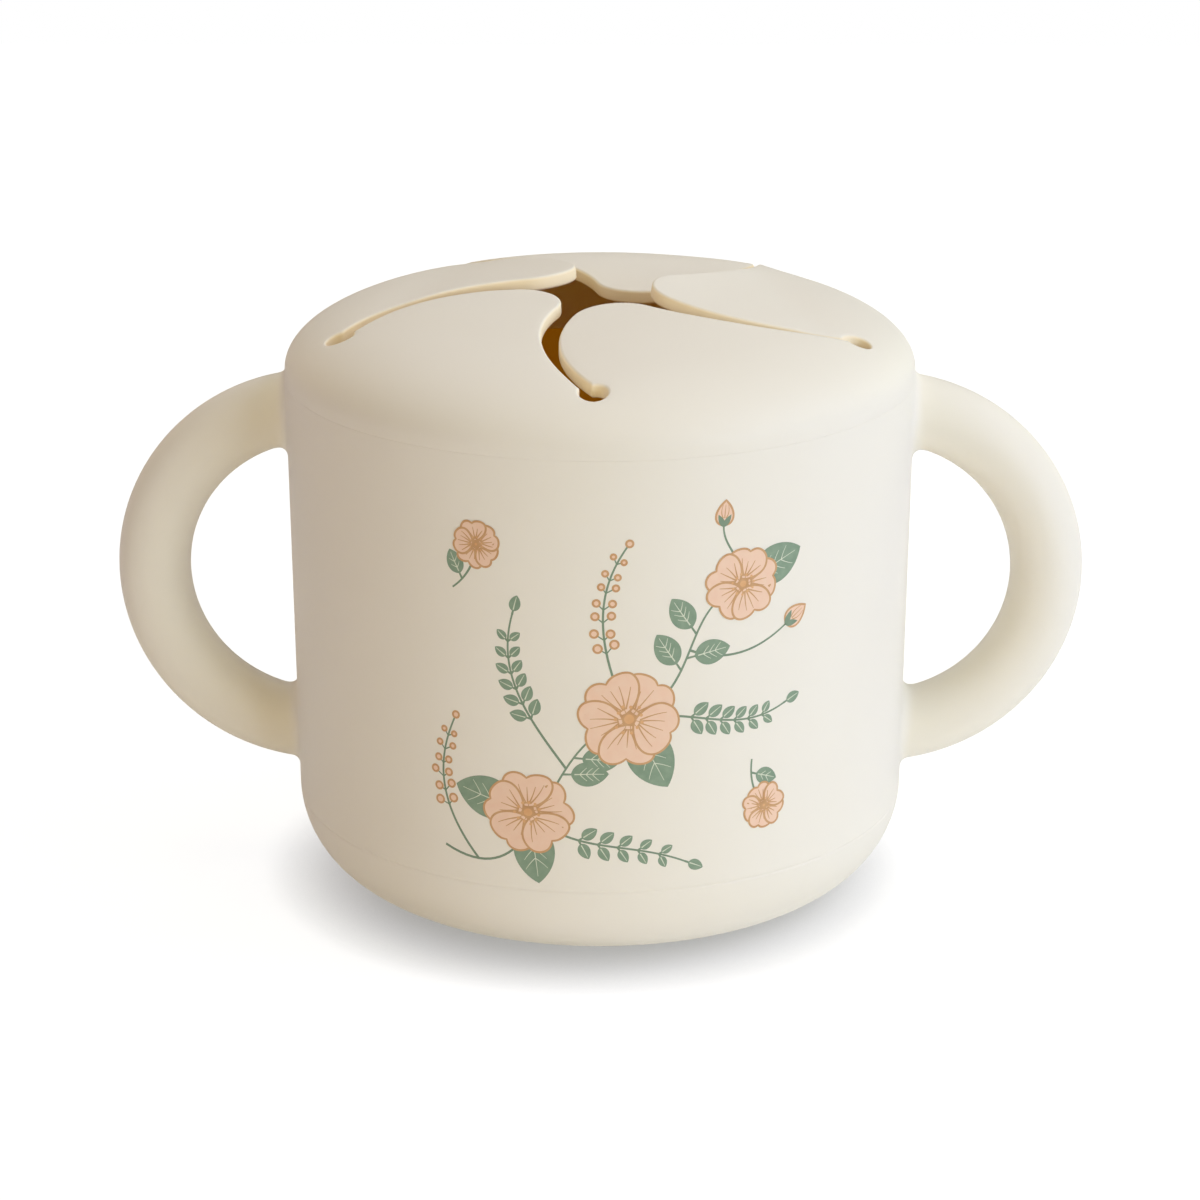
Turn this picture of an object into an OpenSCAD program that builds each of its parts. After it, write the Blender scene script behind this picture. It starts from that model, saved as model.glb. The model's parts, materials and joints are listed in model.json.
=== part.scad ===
// Toddler snack container: a soft silicone cup with two loop handles and a
// lift-off lid whose crown is cut into a pinwheel of five bending flaps.
// Millimetres. +Z is up, the front looks along -Y, the handles lie along X.
// The origin is the centre of the foot, on the surface the cup stands on.

/* [Cup] */
// Outer diameter of the cup at the seam with the lid
cup_d = 90; // [80:0.5:100]
// How much the wall draws in from the seam down to the rounded bottom edge
draft = 0.7; // [0:0.1:3]
// Height of the seam between cup and lid
seam_z = 75; // [72:0.5:95]
// Radius of the rounded bottom edge
base_round = 13.8; // [8:0.2:15]
// Thickness of the cup wall
wall_t = 3; // [2.6:0.1:3.6]
// Thickness of the floor, down to the foot
floor_t = 3.2; // [2.4:0.1:5]
// Diameter of the shallow hollow under the floor
hollow_d = 50; // [30:1:56]
// Depth of that hollow
hollow_h = 0.8; // [0.4:0.1:1.2]
// Thickness of the thin neck that stands up into the lid
neck_t = 1.4; // [1:0.1:1.6]
// Height of the neck above the seam
neck_h = 2.6; // [1.5:0.1:3]

/* [Handles] */
// How far the centre of a handle's ring lies inside the rim of the cup
grip_inset = 4.5; // [2:0.1:8]
// Gap between the top of the ring and the seam
grip_drop = 0.1; // [0:0.1:3]
// Radius of the ring, to the middle of its round bar
grip_ring_r = 24.4; // [20:0.1:24.6]
// Radius of the bar
grip_r = 5.2; // [4:0.1:5.4]
// Radius of the fillet where the bar meets the wall
root_round = 2; // [1:0.1:3]

/* [Lid] */
// Height of the lid's straight skirt above the seam
skirt_h = 1.2; // [1:0.1:3]
// Height of the crown above the skirt
crown_h = 9.9; // [8:0.1:14]
// Squareness of the crown's curve: 2 is an ellipse
crown_square = 3.5; // [2.4:0.05:4]
// Thickness of the lid's sheet
lid_t = 2; // [1.6:0.1:2.4]
// Thickness of the plug ring that hangs inside the cup
plug_t = 1.6; // [1.2:0.1:2.4]
// Depth of the plug ring below the seam
plug_h = 4.5; // [3:0.1:8]
// Gap between the lid's groove and the cup's neck
seat_gap = 0.2; // [0.15:0.05:0.3]

/* [Flaps] */
// How far the lid is turned on the cup, in degrees
lid_turn = -0.7; // [-5:0.1:5]
// Distance from the lid's axis to the round holes that end the slits
hole_at = 37.9; // [37:0.1:39]
// Radius of those holes
hole_r = 2; // [1.4:0.1:2.1]
// Width of the slits at their holes
slit_w = 2.1; // [1:0.1:2.4]
// How much the radius of a flap's hollow side exceeds the round side's, beyond the slit
slit_flare = 1.2; // [0:0.1:2]
// Radius of a flap's round side
slit_r = 26.6; // [26:0.1:27.5]
// Angle between a slit and the lid's radius at its hole
slit_lean = 39.3; // [38:0.1:41]
// Radius of the rounded tip of a flap
lobe_r = 6.7; // [5.5:0.1:7.5]
// Distance from the lid's axis to the line on which a flap bends
hinge_at = 26.3; // [25:0.1:26.6]
// Gap round the bending line
hinge_gap = 0.1; // [0.05:0.05:0.3]
// How far the front right flap stands up at rest, in degrees
lift_front_right = 2.5; // [-6:0.1:8]
// How far the right flap stands up at rest
lift_right = 7.5; // [-6:0.1:8]
// How far the back flap stands up at rest
lift_back = -2.5; // [-6:0.1:8]
// How far the left flap stands up at rest
lift_left = 6; // [-6:0.1:8]
// How far the front left flap stands up at rest
lift_front_left = 2.5; // [-6:0.1:8]

/* [Hidden] */

cream = [0.93, 0.9, 0.84];
cream_lid = [0.91, 0.88, 0.82];
cream_flap = [0.94, 0.92, 0.87];
$fn = 96;
arc_steps = 10;
crown_steps = 14;
over = 1;

// Cup, handles and seat
cup_r = cup_d / 2;
grip_x = cup_r - grip_inset;
grip_z = seam_z - grip_drop - grip_r - grip_ring_r;
base_r = cup_r - draft;
bore_r = cup_r - wall_t;
wall_slope = draft / (seam_z - base_round);
bore_round = base_round - wall_t;
neck_r = bore_r + neck_t;
neck_top = seam_z + neck_h;

// Lid
lid_r = cup_r;
crown_z0 = seam_z + skirt_h;
plug_r = bore_r - seat_gap;
plug_bore_r = plug_r - plug_t;
groove_r = neck_r + seat_gap;
groove_top = neck_top + seat_gap;

// Flaps: a slit's two sides are arcs of circles that lie on one line through its hole
flap_count = 5;
step = 360 / flap_count;
convex_r = slit_r;
concave_r = slit_r + slit_w + slit_flare;
middle_r = (convex_r + concave_r) / 2;
slit_c = leaning(convex_r + slit_w / 2);
hollow_c = leaning(concave_r - slit_w / 2);
next_c = turned(hollow_c, step);
lobe_c = circles_meet(slit_c, convex_r - lobe_r, next_c, concave_r + lobe_r);
lobe_a = along(slit_c, lobe_c, convex_r);
lobe_b = along(next_c, lobe_c, concave_r);
root_reach = hinge_at / cos(step / 2) + slit_w;
hinge_drop = crown_z(hinge_at) - crown_z(root_reach);
hinge_z = crown_z(hinge_at) - (hinge_drop + lid_t) / 2;
knuckle_spare = 0.15;
knuckle_r = (hinge_drop + lid_t) / 2 + knuckle_spare;

// Height of the lid's outer surface at radius r, and of a sheet that lies in below it
function crown_z(r, in = 0) =
    crown_z0 + (crown_h - in) * sqrt(max(0, 1 - pow(r / (lid_r - in), crown_square)));

// Point at distance d from the front hole, on the line through the centres of its slit's arcs
function leaning(d) = [d * cos(slit_lean), d * sin(slit_lean) - hole_at];

// Point p turned by angle a about the origin
function turned(p, a) = [p.x * cos(a) - p.y * sin(a), p.x * sin(a) + p.y * cos(a)];

// Point at distance d from p, towards q
function along(p, q, d) = p + (q - p) * d / norm(q - p);

// The point, on the side of the origin, that is ra from a and rb from b
function circles_meet(a, ra, b, rb) =
    let (span = norm(b - a),
         u = (b - a) / span,
         x = (ra * ra - rb * rb + span * span) / (2 * span),
         y = sqrt(ra * ra - x * x))
    a + x * u + y * [-u.y, u.x];

// Points on an arc about c from angle a0 to angle a1
function arc(c, r, a0, a1, n = arc_steps) =
    [for (i = [0:n]) let (a = a0 + (a1 - a0) * i / n) c + r * [cos(a), sin(a)]];

// Half section of the cup's outside, solid to the axis
module cup_outline() {
    polygon(concat([[0, 0]],
                   arc([base_r - base_round, base_round], base_round, -90, 0),
                   [[cup_r, seam_z], [0, seam_z]]));
}

// Half section of the space inside the cup
module bore_outline() {
    foot_r = base_r - wall_t;
    polygon(concat([[0, floor_t]],
                   arc([foot_r - bore_round, floor_t + bore_round], bore_round, -90, 0),
                   [[bore_r, seam_z], [bore_r, neck_top + over], [0, neck_top + over]]));
}

module cup_body() {
    color(cream) difference() {
        union() {
            rotate_extrude() cup_outline();
            translate([0, 0, seam_z - over]) cylinder(r = neck_r, h = neck_h + over);
        }
        rotate_extrude() bore_outline();
        translate([0, 0, -over]) cylinder(d = hollow_d, h = over + hollow_h);
    }
}

// Flared collar at a bar's root, along +Z. Its edge lies where the round wall falls away
module root_collar() {
    flare_r = grip_r + root_round;
    fall = cup_r - sqrt(cup_r * cup_r - flare_r * flare_r);
    translate([0, 0, -fall])
        rotate_extrude() polygon(concat([[0, -over], [flare_r, -over]],
                                        arc([flare_r, root_round], root_round, -90, -170),
                                        [[0, root_round]]));
}

// One loop: a round bar bent to a ring, cut where it meets the cup's wall and below the seam
module handle_loop() {
    wall_r = cup_r - wall_slope * (seam_z - grip_z);
    root_angle = acos((wall_r - grip_x) / grip_ring_r);
    difference() {
        translate([grip_x, 0, grip_z]) {
            rotate([90, 0, 0]) rotate_extrude() translate([grip_ring_r, 0]) circle(r = grip_r);
            for (side = [-1, 1])
                rotate([0, -side * root_angle, 0])
                    translate([grip_ring_r, 0, 0])
                        rotate([side < 0 ? 180 : 0, 0, 0]) mirror([0, 0, 1]) root_collar();
        }
        rotate_extrude() cup_outline();
        translate([0, 0, seam_z]) cylinder(r = grip_x + grip_ring_r, h = grip_r + root_round);
    }
}

module handle_right() {
    color(cream) handle_loop();
}

module handle_left() {
    color(cream) mirror([1, 0, 0]) handle_loop();
}

// Half section under the lid's outer or inner surface
module crown_outline(in, z0) {
    rim_r = lid_r - in;
    curve = [for (i = [0:crown_steps]) let (r = rim_r * sin(90 * i / crown_steps)) [r, crown_z(r, in)]];
    polygon(concat([[0, z0]], curve, [[rim_r, z0]]));
}

// The whole lid before it is cut: crown, skirt, groove for the neck and plug ring
module lid_blank() {
    difference() {
        union() {
            rotate_extrude() crown_outline(0, seam_z);
            translate([0, 0, seam_z - plug_h]) cylinder(r = plug_r, h = plug_h + over);
        }
        intersection() {
            rotate_extrude() crown_outline(lid_t, seam_z - plug_h - over);
            translate([0, 0, seam_z - plug_h - over])
                cylinder(r = plug_bore_r, h = plug_h + crown_h + lid_t);
        }
        translate([0, 0, seam_z - over]) difference() {
            cylinder(r = groove_r, h = groove_top - seam_z + over);
            translate([0, 0, -over]) cylinder(r = plug_r, h = neck_h + 4 * over);
        }
    }
}

// Upright prism through the lid's crown, over a flat outline
module through_crown() {
    translate([0, 0, crown_z0]) linear_extrude(crown_h + over) children();
}

// The part of the crown inside a flap's bending line, with its round knuckle
module hinge_zone(r) {
    reach = 2 * hole_at;
    rotate([0, 0, step / 2]) {
        translate([-hole_at, -hinge_at, crown_z0]) cube([reach, reach, crown_h + over]);
        translate([0, -hinge_at, hinge_z]) rotate([0, 90, 0]) cylinder(r = r, h = reach, center = true);
    }
}

// Everything between the middles of two neighbouring slits
module flap_cell() {
    difference() {
        translate(leaning(middle_r)) circle(r = middle_r);
        translate(turned(leaning(middle_r), step)) circle(r = middle_r);
    }
}

// Outline of a flap: convex on one side, hollow on the other, with a round tip
module flap_outline() {
    corner = circles_meet(slit_c, convex_r, next_c, concave_r);
    difference() {
        translate(slit_c) circle(r = convex_r);
        translate(next_c) circle(r = concave_r);
        polygon([lobe_c, along(lobe_c, lobe_a, 2 * lobe_r), 2 * corner - lobe_c, along(lobe_c, lobe_b, 2 * lobe_r)]);
    }
    translate(lobe_c) circle(r = lobe_r);
}

// The slit and its round end, as far as the hole
module slit() {
    intersection() {
        difference() {
            translate(hollow_c) circle(r = concave_r);
            translate(slit_c) circle(r = convex_r);
        }
        translate([-slit_r / 2, -hole_at]) square([slit_r / 2 + hole_r, hole_at]);
    }
    translate([0, -hole_at]) circle(r = hole_r);
}

module lid_rim() {
    opening_r = hinge_at * cos(step / 2) - hole_r;
    color(cream_lid) difference() {
        lid_blank();
        through_crown() circle(r = opening_r);
        for (i = [0:flap_count - 1]) rotate([0, 0, i * step + lid_turn]) {
            through_crown() slit();
            intersection() {
                through_crown() flap_cell();
                hinge_zone(knuckle_r + hinge_gap);
            }
        }
    }
}

// One flap, i steps round from the front right, standing up by lift degrees
module flap(i, lift) {
    color(cream_flap) rotate([0, 0, (i + 0.5) * step + lid_turn])
        translate([0, -hinge_at, hinge_z]) rotate([lift, 0, 0]) translate([0, hinge_at, -hinge_z])
            rotate([0, 0, -step / 2]) intersection() {
                lid_blank();
                through_crown() flap_outline();
                hinge_zone(knuckle_r);
            }
}

module flap_front_right() {
    flap(0, lift_front_right);
}

module flap_right() {
    flap(1, lift_right);
}

module flap_back() {
    flap(2, lift_back);
}

module flap_left() {
    flap(3, lift_left);
}

module flap_front_left() {
    flap(4, lift_front_left);
}

cup_body();
handle_left();
handle_right();
lid_rim();
flap_front_right();
flap_right();
flap_back();
flap_left();
flap_front_left();
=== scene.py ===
"""Dresses the toddler snack container: silicone cup, pinwheel lid and a printed front.

Sizes are in millimetres until a mesh is made; Blender's own objects are in metres.
+Z is up, the printed front looks along -Y and the handles lie along X.
"""

import json
import logging
import math
from abc import ABC, abstractmethod
from collections.abc import Iterable, Sequence
from dataclasses import dataclass, field
from enum import Enum, IntEnum
from functools import cached_property

import bmesh
import bpy
import numpy as np
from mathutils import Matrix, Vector
from mathutils.geometry import delaunay_2d_cdt


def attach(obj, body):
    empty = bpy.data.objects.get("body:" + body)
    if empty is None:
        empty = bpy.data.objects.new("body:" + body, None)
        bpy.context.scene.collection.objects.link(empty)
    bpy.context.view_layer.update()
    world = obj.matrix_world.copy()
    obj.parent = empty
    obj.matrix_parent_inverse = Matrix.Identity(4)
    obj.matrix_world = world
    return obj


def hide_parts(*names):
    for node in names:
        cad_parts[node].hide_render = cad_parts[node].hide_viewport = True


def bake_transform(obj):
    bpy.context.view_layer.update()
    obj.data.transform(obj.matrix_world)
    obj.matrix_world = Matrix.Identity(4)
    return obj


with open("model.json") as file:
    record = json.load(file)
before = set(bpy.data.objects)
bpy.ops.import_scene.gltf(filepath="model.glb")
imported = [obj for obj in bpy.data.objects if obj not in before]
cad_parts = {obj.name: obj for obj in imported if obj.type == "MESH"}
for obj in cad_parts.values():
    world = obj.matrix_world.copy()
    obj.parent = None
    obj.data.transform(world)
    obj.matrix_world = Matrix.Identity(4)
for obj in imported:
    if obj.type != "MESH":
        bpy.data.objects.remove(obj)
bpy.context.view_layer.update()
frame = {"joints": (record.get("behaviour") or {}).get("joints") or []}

MM = 0.001
ON_AXIS = 1e-9
LOG = logging.getLogger("snack_container")

Points = np.ndarray
Faces = list[tuple[int, ...]]
Colour = tuple[float, float, float]
Feed = bpy.types.NodeSocket | float | tuple[float, ...]


# ---------------------------------------------------------------- named options


class Side(Enum):
    """The side of the cup that a handle is on, as the sign of X."""

    LEFT = -1
    RIGHT = 1


class Skin(Enum):
    """A face of the lid's sheet, in the order in which a flap's points lie."""

    OUTER = 0
    INNER = 1


@dataclass(frozen=True)
class Rest:
    """How a flap lies when nothing touches it.

    Attributes:
        place: Steps round the lid's axis from the front right flap.
        lift: Angle above the plain crown, in degrees.
        twist: Angle by which the far side of the tip is higher, in degrees.
        curl: Rise of both its sides at the curl's reach from its middle.
        lean: How far one lip leans over its slit near the slit's hole; the sign picks the lip.
        rise: Rise of that lip.
    """

    place: int
    lift: float
    twist: float
    curl: float
    lean: float = 0.0
    rise: float = 0.0


class Flap(Enum):
    """The five flaps of the lid, each as it lies at rest."""

    FRONT_RIGHT = Rest(place=0, lift=2.7, twist=4.6, curl=-0.2)
    RIGHT = Rest(place=1, lift=7.6, twist=8.2, curl=0.7, lean=1.1, rise=-0.28)
    BACK = Rest(place=2, lift=-2.5, twist=-0.9, curl=-0.1, lean=-1.1)
    LEFT = Rest(place=3, lift=6.2, twist=0.9, curl=-0.3)
    FRONT_LEFT = Rest(place=4, lift=2.45, twist=-1.3, curl=-0.3)

    @property
    def label(self) -> str:
        """Name as the frame's nodes, bodies and joints have it."""
        return self.name.lower()


@dataclass(frozen=True)
class Tone:
    """A printed colour and the paler one that it wears to."""

    fresh: Colour
    worn: Colour


class Ink(Enum):
    """The inks of the print."""

    STEM = Tone((0.18, 0.26, 0.18), (0.22, 0.30, 0.22))
    LEAF = Tone((0.20, 0.29, 0.21), (0.25, 0.34, 0.25))
    VEIN = Tone((0.66, 0.70, 0.58), (0.60, 0.64, 0.52))
    OUTLINE = Tone((0.54, 0.30, 0.14), (0.60, 0.36, 0.19))
    PETAL = Tone((0.80, 0.55, 0.42), (0.81, 0.59, 0.46))
    HEART = Tone((0.66, 0.36, 0.17), (0.70, 0.42, 0.22))


class Layer(IntEnum):
    """Layer of ink that a shape is printed in, counted from the wall."""

    STEM = 0
    STALK = 1
    LEAF = 2
    VEIN = 3
    PETAL = 4
    FOLD = 6
    SEPAL = 7
    THREAD = 19
    POLLEN = 20
    HEART = 21


# ---------------------------------------------------------------- flat geometry


def polar(radius: float, degrees: float) -> Points:
    """Point at a radius and an angle about the origin."""
    angle = math.radians(degrees)
    return np.array([radius * math.cos(angle), radius * math.sin(angle)])


def turned(points: Points, degrees: float) -> Points:
    """Turn flat points about the origin.

    Args:
        points: The points as rows, or one point.
        degrees: The angle, counter-clockwise.

    Returns:
        The turned points.
    """
    angle = math.radians(degrees)
    cos, sin = math.cos(angle), math.sin(angle)
    return points @ np.array([[cos, sin], [-sin, cos]])


def heading(start: Points, end: Points) -> float:
    """Angle in degrees of the line from one point to another."""
    return math.degrees(math.atan2(end[1] - start[1], end[0] - start[0]))


def smooth(share: Points) -> Points:
    """Ease a share from 0 to 1, level at both ends."""
    held = np.clip(share, 0, 1)
    return held * held * (3 - 2 * held)


def arc(centre: Points, radius: float, start: float, end: float, gap: float) -> Points:
    """Place points along an arc, both ends included.

    Args:
        centre: Centre of the arc.
        radius: Radius of the arc.
        start: First angle in degrees.
        end: Last angle in degrees; smaller than start runs clockwise.
        gap: Largest distance between neighbouring points.

    Returns:
        The points as rows.
    """
    length = radius * abs(math.radians(end - start))
    angles = np.radians(np.linspace(start, end, max(2, math.ceil(length / gap) + 1)))
    return centre + radius * np.column_stack([np.cos(angles), np.sin(angles)])


def circles_meet(a: Points, a_radius: float, b: Points, b_radius: float) -> Points:
    """Find where two circles cross, on the left of the line from the first to the second.

    Args:
        a: Centre of the first circle.
        a_radius: Its radius.
        b: Centre of the second circle.
        b_radius: Its radius.

    Returns:
        The point.
    """
    span = float(np.linalg.norm(b - a))
    ahead = (b - a) / span
    along = (a_radius * a_radius - b_radius * b_radius + span * span) / (2 * span)
    aside = math.sqrt(a_radius * a_radius - along * along)
    return a + along * ahead + aside * np.array([-ahead[1], ahead[0]])


def bezier(*controls: tuple[float, float], steps: int = 20) -> Points:
    """Place points along a Bezier curve of any degree.

    Args:
        controls: Its control points.
        steps: Pieces along it.

    Returns:
        The points as rows, both ends included.
    """
    points = np.repeat(np.array(controls, float)[:, None, :], steps + 1, axis=1)
    share = np.linspace(0, 1, steps + 1)[:, None]
    while len(points) > 1:
        points = points[:-1] * (1 - share) + points[1:] * share
    return points[0]


def ribbon(path: Points, start: float, end: float) -> Points:
    """Draw the outline of a line that tapers along a path.

    Args:
        path: Points along its middle.
        start: Its width at the start.
        end: Its width at the end.

    Returns:
        The closed outline.
    """
    ahead = np.gradient(path, axis=0)
    ahead /= np.linalg.norm(ahead, axis=1)[:, None]
    left = np.column_stack([-ahead[:, 1], ahead[:, 0]])
    half = np.linspace(start, end, len(path))[:, None] / 2 * left
    return np.vstack([path + half, (path - half)[::-1]])


def mirrored(half: Points) -> Points:
    """Closed outline from its upper half, which begins and ends on the X axis."""
    return np.vstack([half, half[-2:0:-1] * [1, -1]])


def rounded(corners: Sequence[tuple[float, float, float]], steps: int = 6) -> Points:
    """Round the corners of an open outline.

    Args:
        corners: (x, y, radius) for each corner; the two ends stay sharp.
        steps: Pieces in each rounded corner.

    Returns:
        Points along the outline.
    """
    flat = [np.array(corner[:2], float) for corner in corners]
    out = [flat[0]]
    for before, here, after, (_, _, radius) in zip(flat, flat[1:], flat[2:], corners[1:]):
        if radius <= 0:
            out.append(here)
            continue
        a = (before - here) / np.linalg.norm(before - here)
        b = (after - here) / np.linalg.norm(after - here)
        half = math.acos(max(-1.0, min(1.0, float(a @ b)))) / 2
        centre = here + (a + b) / np.linalg.norm(a + b) * radius / math.sin(half)
        first = heading(centre, here + a * radius / math.tan(half))
        last = heading(centre, here + b * radius / math.tan(half))
        sweep = (last - first + 180) % 360 - 180
        angles = np.radians(first + sweep * np.linspace(0, 1, steps + 1))
        out.extend(centre + radius * np.column_stack([np.cos(angles), np.sin(angles)]))
    out.append(flat[-1])
    return np.array(out)


def inward(outline: Points) -> Points:
    """Find the normals of a closed outline that point to its inside.

    Args:
        outline: Its points as rows, in either direction.

    Returns:
        A unit normal for each point.
    """
    ahead = np.roll(outline, -1, axis=0) - outline
    ahead /= np.linalg.norm(ahead, axis=1)[:, None]
    mean = ahead + np.roll(ahead, 1, axis=0)
    mean /= np.linalg.norm(mean, axis=1)[:, None]
    x, y = outline.T
    area = float(np.sum(x * np.roll(y, -1) - y * np.roll(x, -1)))
    return np.column_stack([-mean[:, 1], mean[:, 0]]) * (1 if area > 0 else -1)


def within(points: Points, outline: Points) -> Points:
    """Tell which points lie inside a closed outline.

    Args:
        points: The points as rows.
        outline: The outline's points.

    Returns:
        True or false for each point.
    """
    x, y = points[:, 0][:, None], points[:, 1][:, None]
    x0, y0 = outline.T
    x1, y1 = np.roll(outline, -1, axis=0).T
    crosses = (y0 > y) != (y1 > y)
    with np.errstate(divide="ignore", invalid="ignore"):
        hit = x < (x1 - x0) * (y - y0) / (y1 - y0) + x0
    return (crosses & hit).sum(axis=1) % 2 == 1


def fill(outline: Points, gap: float, clear: float = 0.6, merge: float = 1e-7) -> tuple[Points, Faces]:
    """Fill a closed outline with triangles and even points in the middle.

    Args:
        outline: The outline's points, none twice.
        gap: Distance between the middle points.
        clear: Share of that gap that stays free along the outline.
        merge: Distance under which points count as one.

    Returns:
        The points, the outline's first and in order, and the triangles.
    """
    low, high = outline.min(axis=0), outline.max(axis=0)
    row_gap = gap * math.sqrt(3) / 2
    rows = int((high[1] - low[1]) / row_gap) + 1
    columns = int((high[0] - low[0]) / gap) + 1
    j, i = np.mgrid[0:rows, 0:columns]
    x = low[0] + (i + 0.5 * (j % 2)) * gap
    y = low[1] + j * row_gap
    grid = np.column_stack([x.ravel(), y.ravel()])
    grid = grid[within(grid, outline)] if len(grid) else grid
    if len(grid):
        nearest = np.array([np.min(np.linalg.norm(outline - point, axis=1)) for point in grid])
        grid = grid[nearest > clear * gap]
    points = np.vstack([outline, grid])
    corners = [Vector(point) for point in points]
    border = [list(range(len(outline)))]
    only_inside = 1
    _, _, triangles, sources, *_ = delaunay_2d_cdt(corners, [], border, only_inside, merge)
    source = [numbers[0] for numbers in sources]
    return points, [tuple(source[v] for v in triangle) for triangle in triangles]


# ---------------------------------------------------------------- meshes


def lathe(profile: Points, turns: int) -> tuple[Points, Faces]:
    """Turn a half section about Z.

    Args:
        profile: (radius, height) points; an end on the axis becomes a pole.
        turns: Faces round the axis.

    Returns:
        Points and faces of the surface.
    """
    points: list[Points] = []
    rings: list[list[int]] = []
    angles = np.radians(np.arange(turns) * 360 / turns)
    for radius, height in profile:
        first = sum(len(ring) for ring in points)
        count = 1 if radius < ON_AXIS else turns
        a = angles[:count]
        points.append(np.column_stack([radius * np.cos(a), radius * np.sin(a), np.full(count, height)]))
        rings.append([first + (k if count > 1 else 0) for k in range(turns)])
    faces: Faces = []
    for a, b in zip(rings, rings[1:]):
        for k in range(turns):
            quad = [a[k], a[(k + 1) % turns], b[(k + 1) % turns], b[k]]
            faces.append(tuple(dict.fromkeys(quad)))
    return np.vstack(points), faces


def bridge(a: Sequence[int], b: Sequence[int], closed: bool = False) -> Faces:
    """Join two rows of as many points with quads.

    Args:
        a: Point numbers of the first row.
        b: Point numbers of the second row.
        closed: Whether the rows are rings.

    Returns:
        The quads.
    """
    count = len(a)
    last = count if closed else count - 1
    return [(a[i], a[(i + 1) % count], b[(i + 1) % count], b[i]) for i in range(last)]


def make_piece(
    name: str,
    points: Points,
    faces: Faces,
    material: bpy.types.Material,
    normals: dict[int, Points] | None = None,
    marks: dict[str, Points] | None = None,
) -> bpy.types.Object:
    """Make a smooth shaded object.

    Args:
        name: Name of the piece.
        points: Its points in millimetres.
        faces: Its faces, turned outwards here.
        material: Its finish.
        normals: Shading normals that are given, for the points of a hidden join.
        marks: A share from 0 to 1 for each point, by the name that the finish reads.

    Returns:
        The new object, linked to the scene.
    """
    mesh = bpy.data.meshes.new(name)
    mesh.from_pydata((points * MM).tolist(), [], faces)
    work = bmesh.new()
    work.from_mesh(mesh)
    bmesh.ops.recalc_face_normals(work, faces=work.faces)
    work.to_mesh(mesh)
    work.free()
    mesh.shade_smooth()
    mesh.materials.append(material)
    if normals:
        custom = np.zeros((len(points), 3))
        for index, normal in normals.items():
            custom[index] = normal
        mesh.normals_split_custom_set_from_vertices(custom.tolist())
    for mark, shares in (marks or {}).items():
        layer = mesh.attributes.new(mark, "FLOAT", "POINT")
        layer.data.foreach_set("value", np.asarray(shares, dtype=float))
    piece = bpy.data.objects.new(name, mesh)
    bpy.context.scene.collection.objects.link(piece)
    return piece


# ---------------------------------------------------------------- finishes


class Graph:
    """The nodes of a material or of the room, each added together with what feeds it."""

    def __init__(self, owner: bpy.types.Material | bpy.types.World) -> None:
        """Turn on the owner's nodes."""
        owner.use_nodes = True
        self.tree: bpy.types.NodeTree = owner.node_tree

    def feed(self, node: bpy.types.Node, inputs: dict[str | int, Feed]) -> bpy.types.Node:
        """Give a node its inputs.

        Args:
            node: The node.
            inputs: A constant or another node's output, by the name or number of the input.

        Returns:
            The same node.
        """
        for name, value in inputs.items():
            if isinstance(value, bpy.types.NodeSocket):
                self.tree.links.new(value, node.inputs[name])
            else:
                node.inputs[name].default_value = value
        return node

    def add(self, kind: str, inputs: dict[str | int, Feed] | None = None) -> bpy.types.Node:
        """Add a shader node of a kind, with its inputs."""
        return self.feed(self.tree.nodes.new(f"ShaderNode{kind}"), inputs or {})

    def noise(self, scale: float, detail: float) -> bpy.types.NodeSocket:
        """Noise from 0 to 1 that stays on the object, with that many waves to a metre."""
        place = self.add("TexCoord").outputs["Object"]
        return self.add("TexNoise", {"Vector": place, "Scale": scale, "Detail": detail}).outputs["Fac"]

    def mixed(self, share: Feed, below: Feed, above: Feed) -> bpy.types.NodeSocket:
        """Mix two colours.

        Args:
            share: How much of the upper one shows, from 0 to 1.
            below: The lower colour.
            above: The upper colour.

        Returns:
            The mixed colour.
        """
        mix = self.add("Mix")
        mix.data_type = "RGBA"
        return self.feed(mix, {"Factor": share, "A": below, "B": above}).outputs["Result"]

    def ranged(
        self,
        value: Feed,
        source: tuple[float, float] = (0.0, 1.0),
        target: tuple[float, float] = (0.0, 1.0),
        eased: bool = False,
    ) -> bpy.types.NodeSocket:
        """Map one range of values to another, and hold what lies beyond its ends.

        Args:
            value: The value.
            source: The range that it is in.
            target: The range that it is mapped to.
            eased: Whether the change is level at both ends.

        Returns:
            The mapped value.
        """
        spread = self.add("MapRange")
        if eased:
            spread.interpolation_type = "SMOOTHSTEP"
        ends = dict(zip(("From Min", "From Max", "To Min", "To Max"), (*source, *target)))
        return self.feed(spread, {"Value": value, **ends}).outputs["Result"]

    def bumped(self, height: Feed, strength: float, depth: float) -> bpy.types.NodeSocket:
        """Normal of a surface that a height roughens, as deep as millimetres say."""
        inputs = {"Height": height, "Strength": strength, "Distance": depth * MM}
        return self.add("Bump", inputs).outputs["Normal"]


@dataclass(frozen=True)
class Tinge(ABC):
    """Painted light: a warmer colour and a glow over a share of a surface, for light through the
    silicone or bounced on to it.
    """

    colour: Colour
    glow: Colour

    @abstractmethod
    def share(self, graph: Graph) -> bpy.types.NodeSocket:
        """Share of the tinge at each point, from 0 to 1."""


@dataclass(frozen=True)
class Marked(Tinge):
    """Tinge where the mesh carries a mark."""

    mark: str

    def share(self, graph: Graph) -> bpy.types.NodeSocket:
        """Read the mark.

        Args:
            graph: The nodes of the material.

        Returns:
            The mark's value.
        """
        reader = graph.add("Attribute")
        reader.attribute_name = self.mark
        return reader.outputs["Fac"]


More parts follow.
